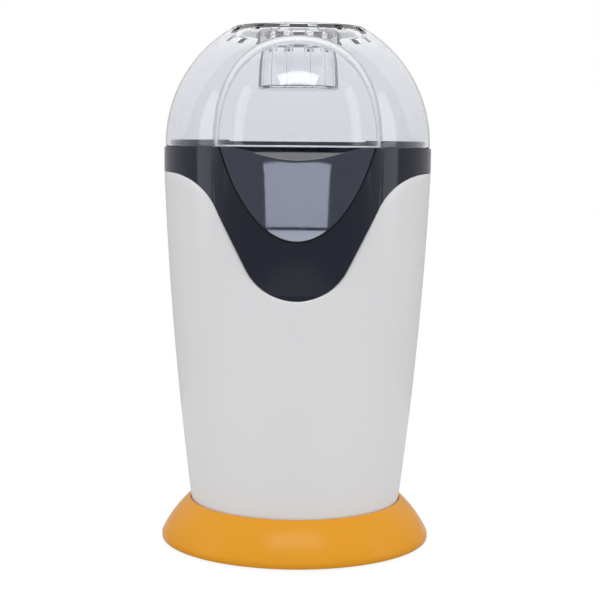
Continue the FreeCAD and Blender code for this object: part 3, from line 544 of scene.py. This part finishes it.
def spoutOutline(inset, radius, front):  # straight sides inside the body and a round front
    half = collar["half"] - inset
    side = math.sqrt((radius - collar["seam"]) ** 2 - collar["half"] ** 2) - inset
    rise = front - inset - side
    bow = (half ** 2 + rise ** 2) / (2 * rise)
    spread = math.atan2(half, bow - rise)
    return half, side, bow, spread, front - inset - bow


def spoutPoint(share, level, inset=0.0):  # share -1 to 1 across, level 0 to 1 up to the rim
    low = housingRadius(wave["bottom"])
    ends = []
    for half, side, bow, spread, middle in (spoutOutline(inset, low, low - collar["seam"]),
                                            spoutOutline(inset, body["radius"], collar["front"])):
        turn = spread * share
        ends.append(Vector((bow * math.sin(turn), -middle - bow * math.cos(turn), 0)))
    point = ends[0].lerp(ends[1], level)
    point.z = wave["bottom"] + (body["rim"] - wave["bottom"]) * level
    return point


def spoutBlock(name, inset, top):  # closed block between the spout's front and the middle plane
    columns = collar["arcs"] + 3
    topLevel = (top - wave["bottom"]) / (body["rim"] - wave["bottom"])

    def place(column, row):
        level = topLevel * min(max(row - 1, 0), collar["rows"] - 2) / (collar["rows"] - 2)
        z = wave["bottom"] + (body["rim"] - wave["bottom"]) * level
        if row in (0, collar["rows"]):
            return 0, collar["toolHub"], z
        if column in (0, columns - 1, columns):
            return (collar["half"] - inset) * (1 if column == columns - 1 else -1), 0, z
        return spoutPoint(2 * (column - 1) / collar["arcs"] - 1, level, inset)

    return sheet(name, columns, collar["rows"], place)


def bodyTurn(name, inset, extra):  # turned from under the wave to the seam, then on
    low = collar["lowZ"]
    skin = [(housingRadius(z) - inset, z) for z in evenRun(low, body["seam"], collar["lowRows"])]
    return lathe(name, [(0, low)] + skin + extra, collar["steps"])


rim, deck = body["rim"], body["rim"] - collar["wall"]
inner = body["radius"] - collar["wall"]
fall = math.radians(collar["fall"])
slideWay = Vector((0, -math.cos(fall), -math.sin(fall)))
slideLift = Vector((0, -math.sin(fall), math.cos(fall)))
lip = Vector((0, -collar["lipY"], collar["lipZ"]))


def outletTool(name, grow):  # all that is over the outlet's hollow floor and slide
    curl, steps = collar["lipRound"], collar["slideSteps"]
    bend = curl * math.tan(fall / 2)
    turns = [math.radians(turn) for turn in evenRun(0, collar["fall"], collar["lipSteps"])]
    path = [Vector((0, collar["lipY"] - collar["start"], 0)), Vector((0, bend, 0))]
    path += [Vector((0, bend - curl * math.sin(t), curl * (math.cos(t) - 1))) for t in turns[1:]]
    path += [slideWay * collar["slideLength"] * i / steps for i in range(1, steps + 1)]
    path.append(path[-1] + slideLift * collar["toolRise"])
    path += [path[0] + Vector((0, 0, collar["toolRise"])), path[0]]
    columns = collar["across"]

    def place(column, row):
        x = collar["reach"] * (2 * min(max(column - 1, 0), columns - 2) / (columns - 2) - 1)
        sag = collar["trough"] - math.sqrt(collar["trough"] ** 2 - x ** 2) - grow
        if column in (0, columns):
            return x, *collar["toolEndHub"]
        return lip + path[row] + Vector((x, -sag * math.tan(fall / 2), sag))

    return sheet(name, columns, len(path) - 1, place)


collarBody = bodyTurn("collarBody", 0, [(body["radius"], rim), (0, rim)])
combined(collarBody, spoutBlock("spout", 0, rim), "UNION")
cavity = bodyTurn("cavity", collar["wall"], [(inner, deck), (0, deck)])
combined(cavity, spoutBlock("cavity", collar["wall"], deck), "UNION")
combined(cavity, outletTool("underSlide", collar["wall"]))
combined(collarBody, cavity)
mouth, ringIn, ringOut = collar["mouth"], collar["ringInner"], collar["ringOuter"]
wideMouth, wideRing = mouth + collar["toolLap"], ringOut + collar["toolLap"]
over, funnelZ = rim + collar["toolOver"], collar["toolFunnelZ"]
combined(collarBody, lathe("funnelSpace", [
    (0, funnelZ), (wideMouth, funnelZ), (wideMouth, collar["mouthZ"] + collar["toolMouthLap"]),
    (ringIn, rim), (ringIn, over), (0, over)], collar["steps"]))
wide, low, bandZ = collar["toolWide"], collar["toolLow"], body["seam"] + collar["seam"]
underWave = [(x, waveHeight(x, collar["seam"])) for x in evenRun(-wide, wide, collar["waveSteps"])]
underWave += [(wide, low), (-wide, low)]
combined(collarBody, prism("underWave", underWave, -collar["toolFar"], collar["toolFrontTo"]))
bandLow, bandHigh = (-wide, collar["toolRearFrom"], low), (wide, collar["toolFar"], bandZ)
combined(collarBody, block("underBand", bandLow, bandHigh))
nip, ringTop, neck = collar["ringNip"], collar["ringTop"], mouth + collar["wall"]
deckZ, rimZ = deck + collar["toolDeckLap"], rim - collar["toolRimLap"]
funnel = lathe("funnel", [
    (wideRing, deckZ), (wideRing, rimZ), (ringOut, rimZ), (ringOut, ringTop - nip),
    (ringOut - nip, ringTop), (ringIn + nip, ringTop), (ringIn, ringTop - nip), (ringIn, rim),
    (mouth, collar["mouthZ"]), (mouth, collar["neckZ"]), (neck, collar["neckZ"]),
    (neck, collar["mouthZ"] - collar["wall"]), (ringIn, deckZ), (wideRing, deckZ)], collar["steps"])
combined(collarBody, funnel, "UNION")
cleaned(combined(collarBody, outletTool("outlet", 0)))
print("collar cut, with", len(collarBody.data.polygons), "faces")


def slideDepth(point):  # over the slide's surface where positive
    across = min(abs(point.x), collar["trough"])
    sag = collar["trough"] - math.sqrt(collar["trough"] ** 2 - across ** 2)
    return slideLift.dot(point - lip) - sag


def outletDepth(share, level):
    return slideDepth(spoutPoint(share, level))


def crossing(test, low, high):  # where test goes from below nought to above it
    for i in range(40):
        half = (low + high) / 2
        low, high = (half, high) if test(half) < 0 else (low, half)
    return low


edgeSteps, beadSides = collar["edgeSteps"], collar["beadSides"]
reachShare = crossing(lambda share: -outletDepth(share, 1.0), 0.0, 1.0)
edgeRun = []
for i in range(edgeSteps + 1):
    share = reachShare * (2 * i / edgeSteps - 1)
    level = crossing(lambda level: outletDepth(share, level), collar["edgeFrom"], 1.0)
    edgeRun.append(spoutPoint(share, level))


def beadPlace(column, row):  # rolled edge round the outlet
    ahead = (edgeRun[min(column + 1, edgeSteps)] - edgeRun[max(column - 1, 0)]).normalized()
    side = ahead.cross(Vector((0, -1, 0))).normalized()
    turn = 2 * math.pi * row / beadSides
    way = side * math.cos(turn) + ahead.cross(side) * math.sin(turn)
    return edgeRun[column] + collar["edgeBead"] * way


edgeBead = sheet("edgeBead", edgeSteps, beadSides, beadPlace)
edit(edgeBead)
bpy.ops.mesh.fill_holes(sides=0)
only(edgeBead)
# painted shade: the rolled edge round the outlet is real geometry, and its near-black matte colour
# is painted shade for the dark line along the outlet's edge
paintedShadeLook = finish("paintedShadeBlack", (0.002, 0.002, 0.003), drift=0.2, rough=(0.5, 0.6), grain=1500.0,
                  relief=0.02, bend=1.3)
slideLook = finish("slideBlack", (0.007, 0.008, 0.018), drift=0.1, rough=(0.05, 0.09),
                   grain=1500.0, relief=0.004, bend=1.62, sheen=(0.79, 0.84, 1.0))
coated(collarBody, looks["collar_black"]).data.materials.append(slideLook)
for face in collarBody.data.polygons:
    point = face.center / mm
    inside = abs(point.x) < collar["slideHalf"] and point.y < -collar["lipY"]
    onSlide = inside and abs(slideDepth(point)) < collar["slideNear"]
    face.material_index = 1 if onSlide and face.normal.dot(slideLift) > collar["slideTurn"] else 0
smoothed(joined(collarBody, [coated(edgeBead, paintedShadeLook)]), collar["smooth"])
placed(collarBody, "housing", "collar_black", None, "collar")

# dome with its hood: turned ball and a stretched oval, hollowed, with the crown's seat and vents
dome = {"radius": 78.5, "foot": 2.0, "wall": 2.2, "crownZ": 306.69, "recess": 2.0, "seatR": 34.3,
        "hole": 25.1, "ventCount": 16, "ventWidth": 5.8, "ventInner": 38.8, "ventLength": 5.6,
        "half": 47.0, "height": 61.0, "offset": 66.0, "fullness": 0.86, "first": 1.5, "rows": 44,
        "straight": 22, "arc": 72, "climbs": 56, "steps": 288, "edge": 1.0, "edgeNear": 0.1,
        "edgeTurn": -0.9, "frost": 0.5, "frostTurn": -0.8, "smooth": 12,
        # the four drops below the rim differ, so that no two tools end in one plane
        "toolBall": 4.0, "toolHood": 5.0, "toolHollowBall": 8.0, "toolHollowHood": 9.0,
        "toolCrownUnder": 5.0, "toolCrownOver": 9.0, "toolVentUnder": 4.0, "toolVentOver": 5.0,
        "toolWide": 150.0, "toolDeep": 20.0}


def ball(name, radius, top, drop):
    middle = rim + dome["foot"]
    climb = math.degrees(math.asin((top - middle) / radius))
    skin = arcRun(0, middle, radius, 0, climb, dome["climbs"])
    outline = [(0, rim - drop), (radius, rim - drop)] + skin + [(0, top)]
    return lathe(name, outline, dome["steps"])


def hood(name, inset, drop):
    half, height = dome["half"] - inset, dome["height"] - inset
    columns = 2 * dome["straight"] + dome["arc"] + 2

    def place(column, row):
        share = max(row - 2, 0) / (dome["rows"] - 2)
        climb = math.radians(dome["first"] + (90 - dome["first"]) * share)
        width = half * max(math.cos(climb), 0) ** dome["fullness"]
        z = rim + height * math.sin(climb) ** dome["fullness"]
        if row < 2:
            z = rim - drop
        step = min(max(column - 1, 0), columns - 2)
        if step <= dome["straight"]:
            x, y = width, -dome["offset"] * step / dome["straight"]
        elif step >= dome["straight"] + dome["arc"]:
            x, y = -width, -dome["offset"] * (columns - 2 - step) / dome["straight"]
        else:
            turn = math.pi * (step - dome["straight"]) / dome["arc"]
            x, y = width * math.cos(turn), -dome["offset"] - width * math.sin(turn)
        if row == 0:
            x, y = 0, max(y, -dome["offset"])
        if column in (0, columns):
            x = 0
        return x, y, z

    return sheet(name, columns, dome["rows"], place)


seat = dome["crownZ"] - dome["recess"]
under = seat - dome["wall"]
domeCover = ball("domeCover", dome["radius"], dome["crownZ"], dome["toolBall"])
combined(domeCover, hood("hood", 0, dome["toolHood"]), "UNION")
hollow = ball("hollow", dome["radius"] - dome["wall"], under, dome["toolHollowBall"])
combined(hollow, hood("hollow", dome["wall"], dome["toolHollowHood"]), "UNION")
combined(domeCover, hollow)
crownLow, crownHigh = under - dome["toolCrownUnder"], seat + dome["toolCrownOver"]
combined(domeCover, lathe("crownTool", [
    (0, crownLow), (dome["hole"], crownLow), (dome["hole"], seat), (dome["seatR"], seat),
    (dome["seatR"], crownHigh), (0, crownHigh)], dome["steps"]))
wide = dome["toolWide"]
combined(domeCover, block("belowRim", (-wide, -wide, rim - dome["toolDeep"]), (wide, wide, rim)))
ventLow = (dome["ventInner"], -dome["ventWidth"] / 2, under - dome["toolVentUnder"])
ventOuter, ventTop = dome["ventInner"] + dome["ventLength"], dome["crownZ"] + dome["toolVentOver"]
ventHigh = (ventOuter, dome["ventWidth"] / 2, ventTop)
ventTools = []
for i in range(dome["ventCount"]):
    turn = Matrix.Rotation(2 * math.pi * (i + 0.5) / dome["ventCount"], 4, "Z")
    ventTools.append(standing(block("vent", ventLow, ventHigh), turn))
combined(domeCover, joined(ventTools[0], ventTools[1:]))
cleaned(welded(domeCover))
edgeLook = finish("frostedEdge", (0.6, 0.61, 0.66), drift=0.05, rough=(0.45, 0.6), grain=900.0,
                  relief=0.05)
coated(domeCover, looks["clear_plastic"]).data.materials.append(edgeLook)
edit(domeCover, "DESELECT")
bpy.ops.mesh.select_mode(type="FACE")
only(domeCover)
for face in domeCover.data.polygons:
    low = face.center.z < (rim + dome["edgeNear"]) * mm
    face.select = low and face.normal.z < dome["edgeTurn"]
bpy.ops.object.mode_set(mode="EDIT")
bpy.ops.mesh.region_to_loop()
bpy.ops.mesh.bevel(offset=dome["edge"] * mm, segments=3, affect="EDGES")
bpy.ops.mesh.select_mode(type="VERT")
bpy.ops.mesh.select_all(action="SELECT")
bpy.ops.mesh.fill_holes(sides=0)
only(domeCover)
for face in domeCover.data.polygons:
    low = face.center.z < (rim + dome["frost"]) * mm
    face.material_index = 1 if low and face.normal.z > dome["frostTurn"] else 0
smoothed(domeCover, dome["smooth"])
placed(domeCover, "dome", "clear_plastic", None, "dome_cover")

# measuring cup: turned, with its ribs pushed out of the wall
cup = {"radius": 24.0, "depth": 34.0, "wall": 1.8, "flange": 34.0, "ribs": 12, "ribWidth": 4.0,
       "ribDepth": 0.8, "steps": 288, "round": 0.4, "roundAngle": 50, "near": 0.1, "smooth": 30}
cupFloor, cupTop, cupInner = seat - cup["depth"], dome["crownZ"], cup["radius"] - cup["wall"]
measuringCup = lathe("measuringCup", [
    (0, cupFloor), (cup["radius"], cupFloor), (cup["radius"], seat), (cup["flange"], seat),
    (cup["flange"], cupTop), (cupInner, cupTop), (cupInner, cupFloor + cup["wall"]),
    (0, cupFloor + cup["wall"])], cup["steps"])
ribPitch = 360 / cup["ribs"]
ribPush = (cup["radius"] + cup["ribDepth"]) / cup["radius"]
for corner in measuringCup.data.vertices:
    across = math.hypot(corner.co.x, corner.co.y)
    if abs(across - cup["radius"] * mm) < cup["near"] * mm:
        turn = math.degrees(math.atan2(corner.co.y, corner.co.x)) % ribPitch - ribPitch / 2
        if abs(math.radians(turn)) * cup["radius"] < cup["ribWidth"] / 2:
            corner.co.x *= ribPush
            corner.co.y *= ribPush
smoothed(rounded(measuringCup, cup["round"], angle=cup["roundAngle"]), cup["smooth"])
cupLook = finish("clearCup", (0.975, 0.978, 0.984), drift=0.004, rough=(0.0, 0.02), grain=300.0,
                 relief=0.002, clear=1.0, bend=1.4)
placed(measuringCup, "cup", "clear_plastic", cupLook, "measuring_cup")

# rear switch and cord gland
switch = {"width": 15.0, "height": 21.0, "bezel": 2.0, "bezelRound": 0.8, "bodyWidth": 12.3,
          "bodyHeight": 18.43, "bodyRound": 0.4, "depth": 15.0, "cavityWidth": 10.0,
          "cavityHeight": 16.83, "cavityDepth": 3.38, "clear": 3.0, "tabWidth": 4.8, "tab": 0.8,
          "tabLength": 7.0, "tabOffset": 5.5, "tabRound": 0.2, "lap": 0.2, "smooth": 30}
bezelFront, back = padFront + switch["bezel"], -switch["depth"]
switchBody = slab("switchBody", switch["width"], switch["height"], padFront, bezelFront)
rounded(switchBody, switch["bezelRound"], 4)
shell = slab("shell", switch["bodyWidth"], switch["bodyHeight"], back, padFront + switch["lap"])
combined(switchBody, rounded(shell, switch["bodyRound"], 2), "UNION")
combined(switchBody, slab("cavity", switch["cavityWidth"], switch["cavityHeight"],
                          padFront - switch["cavityDepth"], bezelFront + switch["clear"]))
tabs = []
for side in (-1, 1):
    tab = slab("tab", switch["tabWidth"], switch["tab"], back - switch["tabLength"],
               back + switch["lap"], side * switch["tabOffset"])
    tabs.append(rounded(tab, switch["tabRound"], 2))
smoothed(standing(joined(switchBody, tabs), switchPlace), switch["smooth"])
placed(switchBody, "housing", "switch_plastic", looks["switch_plastic"], "switch_body")

rocker = {"width": 9.2, "height": 14.8, "rise": 4.2, "dip": 1.3, "dipSteps": 20, "tail": 1.5,
          "foot": 5.5, "round": 0.35, "swing": 10.0, "pin": 1.2, "pinLength": 1.1, "pinSides": 32,
          "smooth": 30}
half, halfWidth, tail = rocker["height"] / 2, rocker["width"] / 2, padFront - rocker["tail"]
dishR = (half ** 2 + rocker["dip"] ** 2) / (2 * rocker["dip"])
dishY = padFront + rocker["rise"] - rocker["dip"] + dishR
dishRun = evenRun(-half, half, rocker["dipSteps"])
dish = [(dishY - math.sqrt(dishR ** 2 - z ** 2), z) for z in dishRun]
keyOutline = [(tail, -rocker["foot"])] + dish + [(tail, rocker["foot"])]
switchRocker = prism("switchRocker", keyOutline, -halfWidth, halfWidth)
standing(switchRocker, Matrix(((0, 1, 0, 0), (1, 0, 0, 0), (0, 0, 1, 0), (0, 0, 0, 1))))  # X for Y
rounded(welded(switchRocker), rocker["round"])
pinEnd = halfWidth + rocker["pinLength"]
pinEnds = (-pinEnd, padFront, 0), (pinEnd, padFront, 0)
pivot = bar("pivot", rocker["pin"], *pinEnds, rocker["pinSides"])
pivotPlace = Matrix.Translation((0, padFront * mm, 0))
swing = pivotPlace @ Matrix.Rotation(-math.radians(rocker["swing"]), 4, "X") @ pivotPlace.inverted()
smoothed(standing(joined(switchRocker, [pivot]), switchPlace @ swing), rocker["smooth"])
placed(switchRocker, "rocker", "switch_plastic", looks["switch_plastic"], "switch_rocker")

gland = {"bore": 3.4, "neck": 4.9, "flange": 6.5, "thick": 2.0, "round": 0.5, "steps": 96}
inEnd, outEnd = padBack - gland["thick"], padFront + gland["thick"]
cordGland = lathe("cordGland", [
    (gland["bore"], inEnd), (gland["flange"], inEnd), (gland["flange"], padBack),
    (gland["neck"], padBack), (gland["neck"], padFront), (gland["flange"], padFront),
    (gland["flange"], outEnd), (gland["bore"], outEnd), (gland["bore"], inEnd)], gland["steps"])
rounded(cordGland, gland["round"], 4)
smoothed(standing(cordGland, glandPlace @ Matrix.Rotation(-math.pi / 2, 4, "X")))
placed(cordGland, "housing", "gland_plastic", looks["gland_plastic"], "cord_gland")

# popping chamber: the sheet pan, smoothed
poppingChamber = copied(frame["nodes"]["popping_chamber"])
poppingChamber.name = "poppingChamber"
poppingChamber.parent = None
for tag in list(poppingChamber.keys()):
    del poppingChamber[tag]
welded(poppingChamber)
smoothed(poppingChamber, 30)
placed(poppingChamber, "housing", "chamber_aluminium", looks["chamber_aluminium"], "popping_chamber")
print("pieces done")

# studio
studio = {"floor": 0.42, "floorRough": 0.7, "fibre": (400.0, 4.0, 0.6),
          "paper": (0.0, 1.0, 0.5, 0.54), "glow": 1.1, "glowShare": 0.82,
          "sky": (0.08, 0.6, 0.5, 1.2), "camera": (0.0021, -0.888, 0.2348), "down": 5.8,
          "roll": 0.5, "lens": 88.8, "film": 36.0, "nearest": 0.01}
only(None)
bpy.ops.mesh.primitive_circle_add(vertices=128, radius=studio["floor"], fill_type="NGON")
floor = bpy.context.object
floor.name = "floor"
floorLook = bpy.data.materials.new("floorLook")
floorLook.use_nodes = True
tree = floorLook.node_tree
surface = tree.nodes["Principled BSDF"]
surface.inputs["Roughness"].default_value = studio["floorRough"]
paper = tree.nodes.new("ShaderNodeTexCoord")
fibre = noise(tree, paper.outputs["Object"], *studio["fibre"])
fibre = ranged(tree, fibre, *studio["paper"])
tint = tree.nodes.new("ShaderNodeCombineColor")
for i in range(3):
    tree.links.new(fibre, tint.inputs[i])
tree.links.new(tint.outputs["Color"], surface.inputs["Base Color"])
glow = tree.nodes.new("ShaderNodeEmission")
glow.inputs["Strength"].default_value = studio["glow"]
path = tree.nodes.new("ShaderNodeLightPath")
seen = summed(tree, path.outputs["Is Camera Ray"], path.outputs["Is Transmission Ray"], "MAXIMUM")
mixer = tree.nodes.new("ShaderNodeMixShader")
tree.links.new(summed(tree, seen, studio["glowShare"], "MULTIPLY"), mixer.inputs["Fac"])
tree.links.new(surface.outputs["BSDF"], mixer.inputs[1])
tree.links.new(glow.outputs["Emission"], mixer.inputs[2])
oneSided = tree.nodes.new("ShaderNodeMixShader")  # open when looked at from below
facing = tree.nodes.new("ShaderNodeNewGeometry")
tree.links.new(facing.outputs["Backfacing"], oneSided.inputs["Fac"])
tree.links.new(mixer.outputs["Shader"], oneSided.inputs[1])
tree.links.new(tree.nodes.new("ShaderNodeBsdfTransparent").outputs["BSDF"], oneSided.inputs[2])
tree.links.new(oneSided.outputs["Shader"], tree.nodes["Material Output"].inputs["Surface"])
floor.data.materials.append(floorLook)

world = bpy.data.worlds.new("studioWorld")
scene.world = world
world.use_nodes = True
sky = world.node_tree
backdrop = sky.nodes["Background"]
backdrop.inputs["Color"].default_value = (1, 1, 1, 1)
where = sky.nodes.new("ShaderNodeTexCoord")
axes = sky.nodes.new("ShaderNodeSeparateXYZ")
sky.links.new(where.outputs["Generated"], axes.inputs["Vector"])
above = ranged(sky, axes.outputs["Z"], *studio["sky"])
skyPath = sky.nodes.new("ShaderNodeLightPath")
skySeen = [skyPath.outputs[way] for way in ("Is Camera Ray", "Is Transmission Ray")]
direct = summed(sky, *skySeen, "MAXIMUM")
sky.links.new(summed(sky, above, direct, "MAXIMUM"), backdrop.inputs["Strength"])

lamps = {
    "overFront": {"at": (0.0, -0.63, 1.0), "to": (0.0, -0.6299, 0.0), "size": (0.8, 0.3),
                  "power": 4.6},
    "left": {"at": (-1.3, -0.15, 0.5), "to": (0.0, 0.0, 0.13), "size": (0.4, 1.0), "power": 1.6},
    "right": {"at": (1.3, -0.15, 0.5), "to": (0.0, 0.0, 0.13), "size": (0.4, 1.0), "power": 1.6},
}
for name, lamp in lamps.items():
    light = bpy.data.lights.new(name, "AREA")
    light.shape = "RECTANGLE"
    light.size, light.size_y = lamp["size"]
    light.energy = lamp["power"]
    stand = bpy.data.objects.new(name, light)
    scene.collection.objects.link(stand)
    stand.location = lamp["at"]
    aim = Vector(lamp["to"]) - Vector(lamp["at"])
    stand.rotation_euler = aim.to_track_quat("-Z", "Y").to_euler()

eye = bpy.data.cameras.new("camera")
eye.lens = studio["lens"]
eye.sensor_width = studio["film"]
eye.clip_start = studio["nearest"]
camera = bpy.data.objects.new("camera", eye)
scene.collection.objects.link(camera)
tilt = Matrix.Rotation(math.radians(90 - studio["down"]), 4, "X")
roll = Matrix.Rotation(math.radians(studio["roll"]), 4, "Z")
camera.matrix_world = Matrix.Translation(studio["camera"]) @ tilt @ roll
scene.camera = camera
print("studio done")
